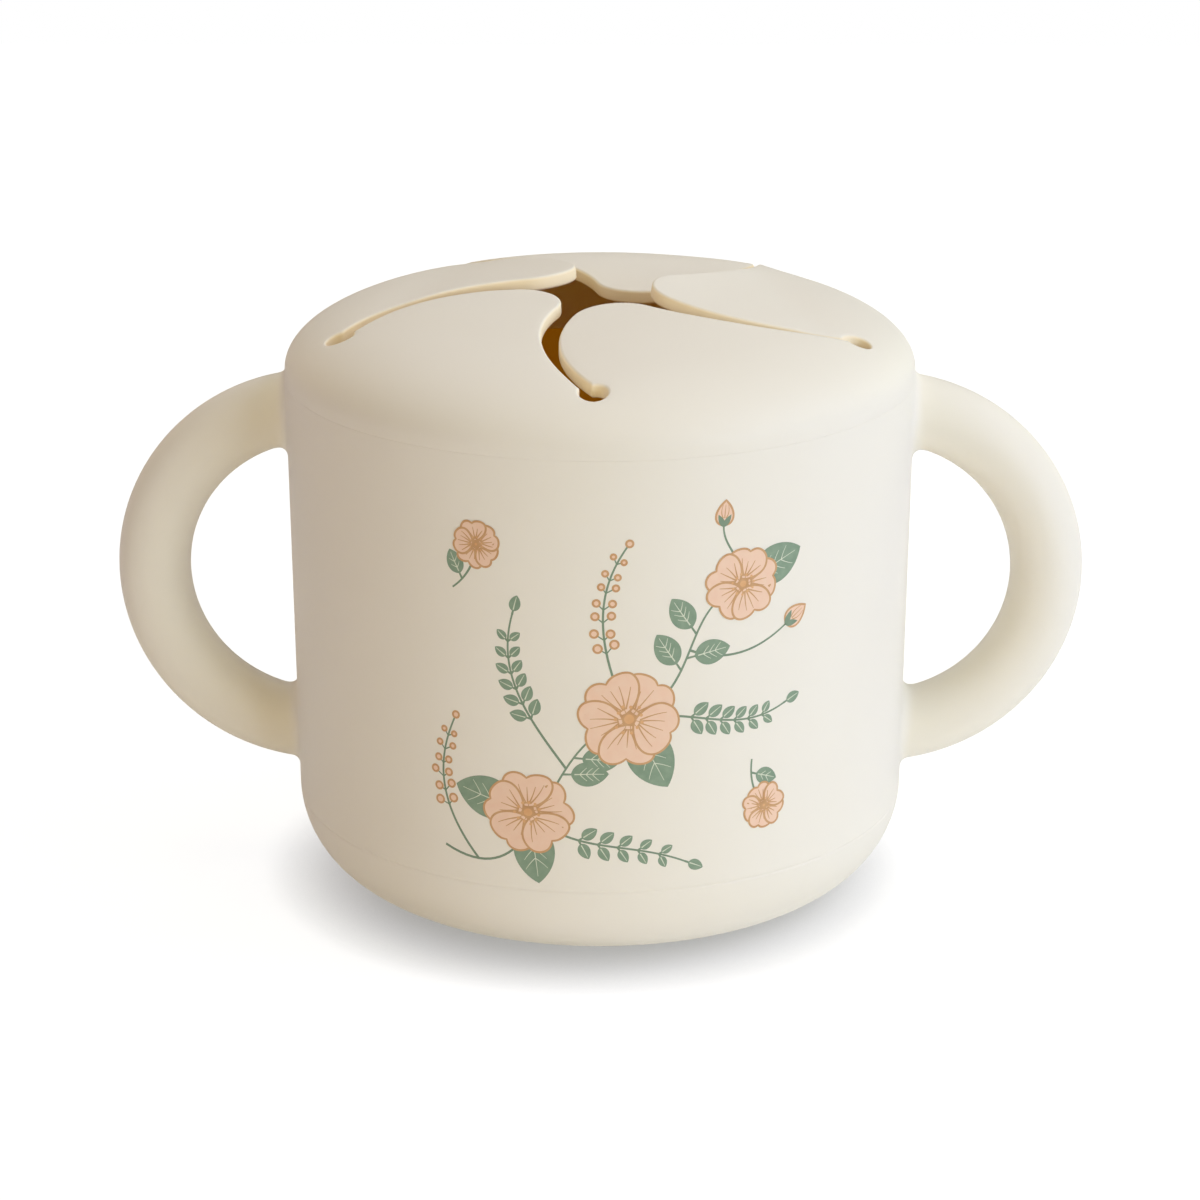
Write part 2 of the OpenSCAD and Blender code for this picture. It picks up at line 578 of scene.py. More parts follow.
@dataclass(frozen=True)
class Enclosed(Tinge):
    """Painted light: amber shade and glow where little of the room is seen, standing in for light that
    passes silicone many times and turns amber.
    """

    reach: float = 130.0
    seen_closed: float = 0.035
    seen_open: float = 0.2

    def share(self, graph: Graph) -> bpy.types.NodeSocket:
        """Measure how little of the room is seen."""
        room = graph.add("AmbientOcclusion", {"Distance": self.reach * MM})
        return graph.ranged(room.outputs["AO"], (self.seen_open, self.seen_closed), eased=True)


@dataclass(frozen=True)
class Silicone:
    """Matt, slightly see-through silicone rubber, clouded a little and finely grained."""

    name: str
    tinges: tuple[Tinge, ...]
    colour: Colour = (0.80, 0.765, 0.70)
    cloud_colour: Colour = (0.785, 0.745, 0.67)
    cloud_scale: float = 45.0
    cloud_detail: float = 3.0
    cloud_range: tuple[float, float] = (0.35, 0.8)
    cloud_share: float = 0.45
    roughness: float = 0.58
    smoother: float = 0.06
    rougher: float = 0.08
    grain_size: float = 0.16
    grain_detail: float = 2.0
    grain_height: float = 0.012
    grain_strength: float = 0.5
    shine: float = 0.35
    sheen: float = 0.06
    sheen_roughness: float = 0.6

    def material(self) -> bpy.types.Material:
        """Build the finish as a node material.

        Returns:
            The material.
        """
        made = bpy.data.materials.new(self.name)
        graph = Graph(made)
        cloud = graph.noise(self.cloud_scale, self.cloud_detail)
        clouded = graph.ranged(cloud, self.cloud_range, (0.0, self.cloud_share))
        colour = graph.mixed(clouded, (*self.colour, 1), (*self.cloud_colour, 1))
        glow: Feed = (0, 0, 0, 1)
        # Painted light: each tinge mixes in its warmer colour and adds its glow as emission
        for tinge in self.tinges:
            share = tinge.share(graph)
            colour = graph.mixed(share, colour, (*tinge.colour, 1))
            glow = graph.mixed(share, glow, (*tinge.glow, 1))
        grain = graph.noise(1 / (self.grain_size * MM) / 2, self.grain_detail)
        gloss = (self.roughness - self.smoother, self.roughness + self.rougher)
        shader = graph.tree.nodes["Principled BSDF"]
        shader.inputs["Specular IOR Level"].default_value = self.shine
        shader.inputs["Sheen Weight"].default_value = self.sheen
        shader.inputs["Sheen Roughness"].default_value = self.sheen_roughness
        shader.inputs["Emission Strength"].default_value = 1.0
        graph.feed(
            shader,
            {
                "Base Color": colour,
                "Emission Color": glow,
                "Roughness": graph.ranged(grain, target=gloss),
                "Normal": graph.bumped(grain, self.grain_strength, self.grain_height),
            },
        )
        return made


@dataclass(frozen=True)
class PrintedInk:
    """Flat silicone ink, worn to a paler tone in fine speckles."""

    ink: Ink
    roughness: float = 0.62
    shine: float = 0.3
    speckle_scale: float = 900.0
    speckle_detail: float = 4.0
    speckle_range: tuple[float, float] = (0.3, 0.75)
    relief: float = 0.01
    relief_strength: float = 0.4

    def material(self) -> bpy.types.Material:
        """Build the finish as a node material.

        Returns:
            The material.
        """
        made = bpy.data.materials.new(f"ink_{self.ink.name.lower()}")
        graph = Graph(made)
        tone = self.ink.value
        speckle = graph.noise(self.speckle_scale, self.speckle_detail)
        worn = graph.ranged(speckle, self.speckle_range)
        shader = graph.tree.nodes["Principled BSDF"]
        shader.inputs["Roughness"].default_value = self.roughness
        shader.inputs["Specular IOR Level"].default_value = self.shine
        graph.feed(
            shader,
            {
                "Base Color": graph.mixed(worn, (*tone.fresh, 1), (*tone.worn, 1)),
                "Normal": graph.bumped(speckle, self.relief_strength, self.relief),
            },
        )
        return made


# ---------------------------------------------------------------- the cup


@dataclass
class Cup:
    """The cup: one moulding with a rounded foot, a neck for the lid and two loop handles."""

    finish: Silicone
    # Finish of the inside, which paints amber shade and glow for light through the silicone
    glowing_inside: Silicone
    # Wall, foot and neck
    radius: float = 45.0
    draft: float = 0.7
    seam: float = 75.0
    base_round: float = 13.8
    wall: float = 3.0
    floor: float = 3.2
    hollow_radius: float = 25.0
    hollow_depth: float = 0.8
    hollow_edge: float = 0.4
    hollow_corner: float = 0.3
    neck: float = 1.4
    neck_height: float = 2.6
    neck_edge: float = 0.45
    ledge_corner: float = 0.25
    ledge_edge: float = 0.05
    # Painted light: the foot glows up to this height, standing in for light bounced off the floor
    painted_bounce_height: float = 6.5
    # Groove where the halves of the mould met, near the top of the foot's round
    parting_height: float = 12.9
    parting_depth: float = 0.09
    parting_width: float = 0.15
    parting_reach: float = 0.6
    parting_steps: int = 12
    # Handles: a ring of round bar, and its fillets on the outer and inner side
    grip_inset: float = 4.5
    grip_height: float = 45.3
    grip_ring: float = 24.4
    grip_bar: float = 5.2
    root_outer: float = 1.3
    root_inner: float = 2.3
    root_sink: float = 1.0
    # Fineness of the meshes
    turns: int = 360
    corner_steps: int = 16
    bar_turns: int = 72
    bar_steps: int = 90
    root_steps: int = 8
    material: bpy.types.Material = field(init=False)

    def __post_init__(self) -> None:
        """Make the material that all parts of the cup share."""
        self.material = self.finish.material()

    @property
    def slope(self) -> float:
        """How much the wall's radius grows with each millimetre of height."""
        return self.draft / (self.seam - self.base_round)

    def wall_radius(self, height: float | Points) -> float | Points:
        """Outer radius of the straight wall at a height."""
        return self.radius - self.slope * (self.seam - height)

    def wall_normal(self, point: Points) -> Points:
        """Find the outward normal of the straight wall.

        Args:
            point: A point on the wall.

        Returns:
            The unit normal there.
        """
        flat = np.array([point[0], point[1], 0.0])
        normal = flat / np.linalg.norm(flat) - np.array([0, 0, self.slope])
        return normal / np.linalg.norm(normal)

    def profile(self) -> Points:
        """Draw the half section: inner floor, bore, neck, seam ledge, outer wall, foot and hollow.

        Returns:
            (radius, height) points from pole to pole.
        """
        bore = self.radius - self.wall
        neck_radius = bore + self.neck
        neck_top = self.seam + self.neck_height
        bore_foot = self.wall_radius(self.floor) - self.wall
        corners = [
            (0, self.floor, 0),
            (bore_foot, self.floor, self.base_round - self.wall),
            (bore, neck_top, self.neck_edge),
            (neck_radius, neck_top, self.neck_edge),
            (neck_radius, self.seam, self.ledge_corner),
            (self.radius, self.seam, self.ledge_edge),
            (self.wall_radius(0), 0, self.base_round),
            (self.hollow_radius, 0, self.hollow_edge),
            (self.hollow_radius, self.hollow_depth, self.hollow_corner),
            (0, self.hollow_depth, 0),
        ]
        return self.with_parting_line(rounded(corners, self.corner_steps))

    def with_parting_line(self, profile: Points) -> Points:
        """Add the faint groove where the two halves of the mould met.

        Args:
            profile: The half section without it.

        Returns:
            The half section with it.
        """
        drop = np.linspace(self.parting_reach, -self.parting_reach, self.parting_steps + 1)
        heights = self.parting_height + drop
        far_out = self.radius - 3 * self.wall / 2
        outer = [i for i, (r, z) in enumerate(profile) if r > far_out and z < self.seam]
        before = max(i for i in outer if profile[i][1] > heights[0])
        after = min(i for i in outer if profile[i][1] < heights[-1] and i > before)
        centre = self.wall_radius(self.base_round) - self.base_round
        below = np.minimum(heights - self.base_round, 0)
        radii = centre + np.sqrt(self.base_round**2 - below**2)
        off = (heights - self.parting_height) / self.parting_width
        groove = np.column_stack([radii - self.parting_depth * np.exp(-(off**2)), heights])
        fits = (heights < profile[before][1]) & (heights > profile[after][1])
        return np.vstack([profile[: before + 1], groove[fits], profile[after:]])

    def build_body(self) -> bpy.types.Object:
        """Build the cup itself, with its inside as a second finish that paints amber shade and glow.

        Returns:
            The cup's object.
        """
        profile = self.profile()
        inner_rings = int(np.argmax(profile[:, 1])) + 1
        inner_points = 1 + (inner_rings - 1) * self.turns
        points, faces = lathe(profile, self.turns)
        # Painted bounce light from the floor: a glow on the foot that fades out with height
        foot = smooth((self.painted_bounce_height - points[:, 2]) / self.painted_bounce_height)
        piece = make_piece("cup_shell", points, faces, self.material, marks={"foot": foot})
        piece.data.materials.append(self.glowing_inside.material())
        for face in piece.data.polygons:
            face.material_index = int(max(face.vertices) < inner_points)
        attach(piece, "cup")
        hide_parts("cup_body")
        return piece

    def bar_point(self, ring_angle: float, around: float) -> Points:
        """Find a point on the right handle's bar.

        Args:
            ring_angle: Place along the ring, in degrees up from its outermost point.
            around: Place round the bar, in degrees from the ring's outer side.

        Returns:
            The point.
        """
        reach = self.grip_ring + self.grip_bar * math.cos(math.radians(around))
        x, z = polar(reach, ring_angle)
        y = self.grip_bar * math.sin(math.radians(around))
        return np.array([self.radius - self.grip_inset + x, y, self.grip_height + z])

    def ring_angle(self, point: Points) -> float:
        """Place along the ring of a point, in degrees up from its outermost point."""
        up, out = point[2] - self.grip_height, point[0] - self.radius + self.grip_inset
        return math.degrees(math.atan2(up, out))

    def meets_wall(self, around: float, end: int) -> float:
        """Find where a line along the bar reaches the wall, by halving.

        Args:
            around: Place round the bar, in degrees.
            end: 1 for the upper root, -1 for the lower one.

        Returns:
            The place along the ring, in degrees.
        """
        clear, sunk, halvings = 45.0, 110.0, 30
        for _ in range(halvings):
            middle = (clear + sunk) / 2
            x, y, z = self.bar_point(end * middle, around)
            if math.hypot(x, y) > self.wall_radius(z):
                clear = middle
            else:
                sunk = middle
        return clear * end

    def root_curve(self, around: float, end: int) -> list[Points]:
        """Draw the fillet from the bar to the wall, at one place round the bar.

        Args:
            around: Place round the bar, in degrees.
            end: 1 for the upper root, -1 for the lower one.

        Returns:
            Points from the bar to the wall.
        """
        share = (1 - math.cos(math.radians(around))) / 2
        reach = self.root_outer + (self.root_inner - self.root_outer) * share
        angle = self.meets_wall(around, end)
        corner = self.bar_point(angle, around)
        line_radius = self.grip_ring + self.grip_bar * math.cos(math.radians(around))
        start = self.bar_point(angle - end * math.degrees(reach / line_radius), around)
        out = corner - self.bar_point(angle, around + 180)
        out[0] = 0
        foot = corner + out / np.linalg.norm(out) * reach
        foot[0] = math.sqrt(self.wall_radius(foot[2]) ** 2 - foot[1] ** 2)
        shares = np.linspace(0, 1, self.root_steps + 1)
        return [(1 - t) ** 2 * start + 2 * t * (1 - t) * corner + t * t * foot for t in shares]

    def bar_line(self, around: float) -> list[Points]:
        """Draw a line along the right handle, from inside the wall round to inside it again.

        Args:
            around: Place round the bar, in degrees.

        Returns:
            Points from the lower root to the upper one.
        """
        low = self.root_curve(around, -1)[::-1]
        high = self.root_curve(around, 1)
        angles = np.linspace(self.ring_angle(low[-1]), self.ring_angle(high[0]), self.bar_steps + 1)
        middle = [self.bar_point(angle, around) for angle in angles[1:-1]]
        sunk = np.array([-self.root_sink, 0, 0])
        return [low[0] + sunk, *low, *middle, *high, high[-1] + sunk]

    def build_handle(self, side: Side) -> bpy.types.Object:
        """Build one loop handle, with fillets that run out on the wall.

        Args:
            side: Which handle.

        Returns:
            The handle's object.
        """
        turns = self.bar_turns
        lines = [self.bar_line(360 * k / turns) for k in range(turns)]
        rings = list(zip(*lines))
        points = np.array([point for ring in rings for point in ring])
        points[:, 0] *= side.value
        rows = [range(i * turns, (i + 1) * turns) for i in range(len(rings))]
        faces = [face for a, b in zip(rows, rows[1:]) for face in bridge(a, b, closed=True)]
        faces += [tuple(rows[0]), tuple(rows[-1])]
        normals = {i: self.wall_normal(points[i]) for row in (rows[1], rows[-2]) for i in row}
        name = f"handle_{side.name.lower()}"
        piece = make_piece(f"{name}_grip", points, faces, self.material, normals)
        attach(piece, "cup")
        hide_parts(name)
        return piece


# ---------------------------------------------------------------- the lid


@dataclass
class Lid:
    """The lid: a domed sheet cut into a pinwheel of flaps, on a grooved rim."""

    finish: Silicone
    cup: Cup
    # Dome, rim and seat
    skirt: float = 1.2
    crown: float = 9.9
    square: float = 3.5
    sheet: float = 2.0
    plug: float = 1.6
    plug_depth: float = 4.5
    plug_edge: float = 0.5
    seat_gap: float = 0.2
    skirt_edge: float = 0.05
    groove_edge: float = 0.15
    groove_corner: float = 0.3
    under_rise: float = 0.2
    under_corner: float = 0.3
    # Pinwheel of slits
    turn: float = -0.7
    step: float = 72.0
    hole_at: float = 37.9
    hole_radius: float = 2.0
    slit: float = 2.1
    slit_flare: float = 1.2
    slit_radius: float = 26.6
    slit_lean: float = 39.3
    lobe: float = 6.7
    edge_round: float = 0.42
    # Circle on which the flaps' sheet joins the rim, and how far from it they are held
    join_radius: float = 41.6
    join_reach: float = 5.0
    # How the flaps bend, twist, curl and lean at rest
    bend_reach: float = 4.8
    twist_start: float = -12.0
    twist_reach: float = 32.0
    curl_reach: float = 15.0
    lean_inner: float = 8.0
    lean_start: float = 9.0
    lean_reach: float = 9.0
    # Fineness of the meshes
    shoulder_steps: int = 27
    join_steps: int = 72
    edge_gap: float = 0.45
    edge_rings: int = 6
    mesh_gap: float = 0.9
    hinge_at: float = field(init=False)
    hinge_height: float = field(init=False)
    material: bpy.types.Material = field(init=False)

    def __post_init__(self) -> None:
        """Make the material and read the bending lines from the frame's joints."""
        self.material = self.finish.material()
        joint = next(j for j in frame["joints"] if j["name"] == "front_right_bend")
        x, y, z = joint["pos_m"]
        self.hinge_at = math.hypot(x, y) / MM
        self.hinge_height = z / MM

    def height(self, radius: Points | float) -> Points | float:
        """Height of the crown's outer surface at a radius."""
        inner = np.maximum(0, 1 - (np.minimum(radius, self.cup.radius) / self.cup.radius) ** self.square)
        return self.cup.seam + self.skirt + self.crown * np.sqrt(inner)

    def fall(self, radius: Points | float) -> Points | float:
        """Find the slope of the crown.

        Args:
            radius: Distance from the lid's axis.

        Returns:
            Millimetres down for each millimetre outwards.
        """
        share = radius / self.cup.radius
        under = np.sqrt(1 - share**self.square)
        return self.crown * self.square * share ** (self.square - 1) / (2 * self.cup.radius * under)

    def normal(self, x: float, y: float) -> Points:
        """Find the outward normal of the crown above a flat point.

        Args:
            x: The point's place along X.
            y: Its place along Y.

        Returns:
            The unit normal.
        """
        radius = math.hypot(x, y)
        fall = float(self.fall(radius))
        normal = np.array([fall * x / radius, fall * y / radius, 1.0])
        return normal / np.linalg.norm(normal)

    def on_sheet(self, flat: Points, depth: float) -> Points:
        """Lift flat points on to the crown.

        Args:
            flat: Points seen from above.
            depth: How deep they lie in the sheet, square to its surface.

        Returns:
            The points in space.
        """
        radius = np.linalg.norm(flat, axis=1)
        upright = np.sqrt(1 + self.fall(radius) ** 2)
        return np.column_stack([flat, self.height(radius) - depth * upright])

    def rim_profile(self) -> Points:
        """Draw the half section of the rim: shoulder, skirt, groove and plug ring.

        Returns:
            (radius, height) points, from the shoulder's inner end round to the one below it.
        """
        outer = self.cup.radius
        plug_outer = outer - self.cup.wall - self.seat_gap
        plug_inner = plug_outer - self.plug
        groove = outer - self.cup.wall + self.cup.neck + self.seat_gap
        groove_top = self.cup.seam + self.cup.neck_height + self.seat_gap
        low = self.cup.seam - self.plug_depth
        start = math.degrees(math.asin(self.join_radius / outer))
        radii = outer * np.sin(np.radians(np.linspace(start, 90, self.shoulder_steps + 1)))
        shoulder = np.column_stack([radii, self.height(radii)])
        sheet_low = float(self.on_sheet(np.array([[self.join_radius, 0]]), self.sheet)[0, 2])
        inner_low = sheet_low + (self.join_radius - plug_inner) * self.under_rise
        under = rounded(
            [
                (*shoulder[-1], 0),
                (outer, self.cup.seam, self.skirt_edge),
                (groove, self.cup.seam, self.groove_edge),
                (groove, groove_top, self.groove_corner),
                (plug_outer, groove_top, self.groove_corner),
                (plug_outer, low, self.plug_edge),
                (plug_inner, low, self.plug_edge),
                (plug_inner, inner_low, self.under_corner),
                (self.join_radius, sheet_low, 0),
            ]
        )
        return np.vstack([shoulder, under[1:]])

    def build_rim(self) -> bpy.types.Object:
        """Build the solid rim of the lid.

        Returns:
            The rim's object.
        """
        turns = self.cup.turns
        points, faces = lathe(self.rim_profile(), turns)
        first = range(turns)
        last = range(len(points) - turns, len(points))
        faces += bridge(last, first, closed=True)
        normals = {i: self.normal(*points[i][:2]) for i in first}
        piece = make_piece("lid_shoulder", points, faces, self.material, normals)
        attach(piece, "lid")
        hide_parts("lid_rim")
        return piece

    def free_edge(self) -> Points:
        """Draw the cut edge of the front right flap, from hole to hole round its tip.

        Returns:
            Points seen from above.
        """
        hole = polar(self.hole_at, -90)
        next_hole = turned(hole, self.step)
        convex = self.slit_radius
        concave = self.slit_radius + self.slit + self.slit_flare
        centre = hole + polar(convex + self.slit / 2, self.slit_lean)
        hollow_centre = hole + polar(concave - self.slit / 2, self.slit_lean)
        next_centre = turned(hollow_centre, self.step)
        tip = circles_meet(centre, convex - self.lobe, next_centre, concave + self.lobe)
        start = circles_meet(hole, self.hole_radius, centre, convex)
        end = turned(circles_meet(hole, self.hole_radius, hollow_centre, concave), self.step)

        side_ends = heading(centre, start) % 360, heading(centre, tip) % 360
        tip_ends = heading(centre, tip) % 360, heading(tip, next_centre) % 360
        hollow_ends = heading(next_centre, tip) % 360, heading(next_centre, end) % 360
        fine = self.edge_gap / 2
        first_half = arc(hole, self.hole_radius, -90, heading(hole, start), fine)
        side = arc(centre, convex, *side_ends, self.edge_gap)
        round_tip = arc(tip, self.lobe, *tip_ends, self.edge_gap)
        hollow = arc(next_centre, concave, *hollow_ends, self.edge_gap)
        last_start = heading(next_hole, end) % 360
        last_half = arc(next_hole, self.hole_radius, last_start, 270 + self.step, fine)
        return np.vstack([first_half, side[1:], round_tip[1:], hollow[1:], last_half[1:]])

    @cached_property
    def pattern(self) -> "FlapPattern":
        """The mesh from which every flap is made."""
        return FlapPattern(self)

    def bent(self, points: Points, rest: Rest) -> Points:
        """Bend, twist and curl the front right flap as another flap lies, softly over the root.

        Args:
            points: Points of the flap in the plain crown.
            rest: How the other flap lies.

        Returns:
            The bent points.
        """
        out = np.append(polar(1, self.step / 2 - 90), 0)
        aside = polar(1, self.step / 2)
        inner = self.hinge_at - points @ out
        above = points[:, 2] - self.hinge_height
        angle = np.radians(rest.lift) * smooth((inner + self.bend_reach) / (2 * self.bend_reach))
        moved = inner * np.cos(angle) - above * np.sin(angle)
        raised = inner * np.sin(angle) + above * np.cos(angle)

        along = points[:, :2] @ aside
        shape = np.radians(rest.twist) * along + rest.curl * (along / self.curl_reach) ** 2
        shape *= smooth((inner - self.twist_start) / self.twist_reach)
        loose = smooth((self.join_radius - np.linalg.norm(points[:, :2], axis=1)) / self.join_reach)
        near_root = smooth((self.lean_inner - inner) / self.lean_inner)
        on_lip = smooth((along * np.sign(rest.lean) - self.lean_start) / self.lean_reach)
        lip = loose * near_root * on_lip

        result = points + np.outer(inner - moved, out)
        result[:, :2] += np.outer(lip * rest.lean, aside)
        result[:, 2] = self.hinge_height + raised + shape * loose + lip * rest.rise
        return result

    def build_flap(self, flap: Flap) -> bpy.types.Object:
        """Build one flap with its share of the sheet, out to the rim.

        Args:
            flap: Which flap.

        Returns:
            The flap's object.
        """
        spin = flap.value.place * self.step + self.turn
        points = self.bent(self.pattern.points, flap.value)
        points[:, :2] = turned(points[:, :2], spin)
        normals = {
            i: np.append(turned(normal[:2], spin), normal[2])
            for i, normal in self.pattern.join_normals().items()
        }
        # Painted light: the cut edge's mark gives it a warmer colour and a glow in the lid's finish
        marks = {"edge": self.pattern.cut_glow_mark()}
        faces = self.pattern.faces()
        piece = make_piece(f"{flap.label}_petal", points, faces, self.material, normals, marks)
        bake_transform(piece)
        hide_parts(f"flap_{flap.label}")
        return piece


@dataclass
class FlapPattern:
    """Mesh of the front right flap in the plain crown, from which all flaps are made.

    Each skin of the sheet has rings of points over its rounded cut edge, and then the
    points of its face. The face's first points are the edge's last ring, and those of
    the circle where it joins the rim come next.
    """

    lid: Lid
    fade: int = 3
    edge: Points = field(init=False)
    join: Points = field(init=False)
    into: Points = field(init=False)
    tilts: Points = field(init=False)
    face: Points = field(init=False)
    triangles: Faces = field(init=False)
    points: Points = field(init=False)

    def __post_init__(self) -> None:
        """Draw the outline, fill it and lift both skins on to the crown."""
        lid = self.lid
        self.edge = lid.free_edge()
        sweep = np.linspace(lid.step - 90, -90, lid.join_steps + 1)
        self.join = np.array([polar(lid.join_radius, angle) for angle in sweep])
        self.into = inward(np.vstack([self.edge, self.join]))[: len(self.edge)]
        self.into[0], self.into[-1] = polar(1, -90), polar(1, lid.step - 90)
        self.tilts = np.radians(np.linspace(0, 90, lid.edge_rings))
        insets = lid.edge_round * (1 - np.cos(self.tilts))
        depths = lid.edge_round * (1 - np.sin(self.tilts))
        last_ring = self.edge + self.into * insets[-1]
        self.face, self.triangles = fill(np.vstack([last_ring, self.join]), lid.mesh_gap)
        layers: list[Points] = []
        for skin in Skin:
            for inset, depth in zip(insets[:-1], depths[:-1]):
                deep = lid.sheet - depth if skin is Skin.INNER else depth
                layers.append(lid.on_sheet(self.edge + self.into * inset, deep))
            layers.append(lid.on_sheet(self.face, lid.sheet if skin is Skin.INNER else 0.0))
        self.points = np.vstack(layers)

    def ring(self, skin: Skin, number: int) -> list[int]:
        """Point numbers of a ring of the cut edge, counted from the middle of the cut."""
        first = skin.value * len(self.points) // len(Skin) + number * len(self.edge)
        return list(range(first, first + len(self.edge)))

    def border(self, skin: Skin) -> list[int]:
        """List the points where one skin joins its neighbours and the rim.

        Args:
            skin: Which skin.

        Returns:
            Point numbers, from the edge's end along the rim to the edge's start.
        """
        rings = [self.ring(skin, number) for number in range(len(self.tilts))]
        first = rings[-1][-1] + 1
        along_rim = list(range(first, first + len(self.join)))
        return [ring[-1] for ring in rings] + along_rim + [ring[0] for ring in rings][::-1]

    def faces(self) -> Faces:
        """Join the points of both skins, the cut edge and the border.

        Returns:
            All faces of the closed mesh.
        """
        made: Faces = []
        last = len(self.tilts) - 1
        for skin in Skin:
            first = self.ring(skin, last)[0]
            made += [tuple(first + v for v in triangle) for triangle in self.triangles]
            for number in range(last):
                made += bridge(self.ring(skin, number), self.ring(skin, number + 1))
        made += bridge(self.ring(Skin.OUTER, 0), self.ring(Skin.INNER, 0))
        return made + bridge(self.border(Skin.OUTER), self.border(Skin.INNER))

    def join_normals(self) -> dict[int, Points]:
        """Find shading normals along the border, so that no join with the neighbours shows.

        Returns:
            A normal for each point of the border.
        """
        normals: dict[int, Points] = {}
        rings = len(self.tilts)
        for skin in Skin:
            border = self.border(skin)
            along_rim = len(border) - 2 * rings
            ends = [-np.append(self.into[i], 0) for i in (-1, 0)]
            walls = [ends[0]] * rings + [np.zeros(3)] * along_rim + [ends[1]] * rings
            tilts = np.concatenate([self.tilts, np.full(along_rim, math.pi / 2), self.tilts[::-1]])
            for i, wall, tilt in zip(border, walls, tilts):
                face = self.lid.normal(*self.points[i][:2]) * (-1 if skin is Skin.INNER else 1)
                normals[i] = math.cos(tilt) * wall + math.sin(tilt) * face
        return normals

    def cut_glow_mark(self) -> Points:
        """Mark the cut edge for its painted warm glow, strongest in the middle of the cut.

        Returns:
            A share from 0 to 1 for each point.
        """
        mark = np.zeros(len(self.points))
        for skin in Skin:
            for number, tilt in enumerate(self.tilts):
                mark[self.ring(skin, number)] = math.cos(tilt) ** self.fade
        return mark


# ---------------------------------------------------------------- the print


